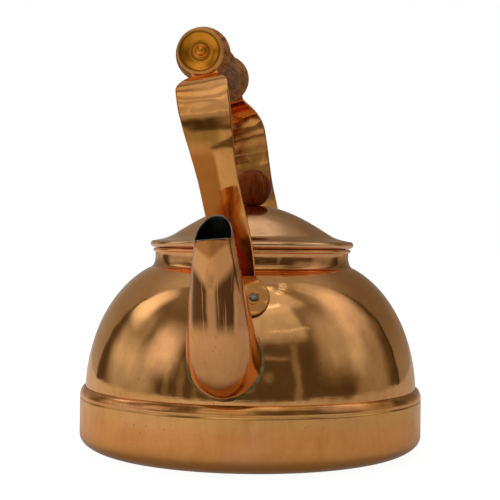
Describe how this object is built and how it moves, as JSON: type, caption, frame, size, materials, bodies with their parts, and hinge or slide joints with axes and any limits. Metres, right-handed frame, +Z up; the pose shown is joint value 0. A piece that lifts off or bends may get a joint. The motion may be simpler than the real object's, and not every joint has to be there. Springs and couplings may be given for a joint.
{
  "type": "stovetop kettle",
  "caption": "Round copper stovetop kettle with a banded base, a tapered spout, a lift-off lid and a turned wooden grip on two copper straps.",
  "frame": {"origin": "middle of the flat bottom face, under the body's axis", "axes": "+Z up along the body's axis, +X towards the spout, +Y to the left of the spout"},
  "size_m": [0.227, 0.19, 0.2284],
  "materials": {
    "body_copper": "polished copper with light tarnish",
    "pan_copper": "satin copper with faint heat tints",
    "spout_copper": "polished copper, darker towards the foot",
    "strap_copper": "polished copper strip",
    "cup_copper": "polished copper, lacquered",
    "lid_copper": "polished copper",
    "grip_wood": "turned hardwood, worn dark",
    "knob_wood": "turned hardwood, red-brown varnish",
    "steel": "dull steel",
    "solder": "dull tin solder with green tarnish"
  },
  "bodies": {
    "kettle": {"base_pan": "pan_copper", "body_shell": "body_copper", "seam_solder": "solder", "spout": "spout_copper", "spout_solder": "solder", "front_strap": "strap_copper", "rear_strap": "strap_copper", "rivet_front_right": "steel", "rivet_front_left": "steel", "rivet_rear_right": "steel", "rivet_rear_left": "steel", "grip": "grip_wood", "grip_rod": "steel", "front_cup_washer": "cup_copper", "rear_cup_washer": "cup_copper", "front_nut": "cup_copper", "rear_nut": "cup_copper"},
    "lid": {"lid_shell": "lid_copper", "lid_collar": "lid_copper", "collar_solder": "solder", "knob": "knob_wood", "knob_screw": "steel", "knob_washer": "steel"}
  },
  "joints": [
    {"name": "lid_lift", "type": "slide", "parent": "kettle", "child": "lid", "axis": [0, 0, 1], "range_m": [0, 0.035]}
  ]
}
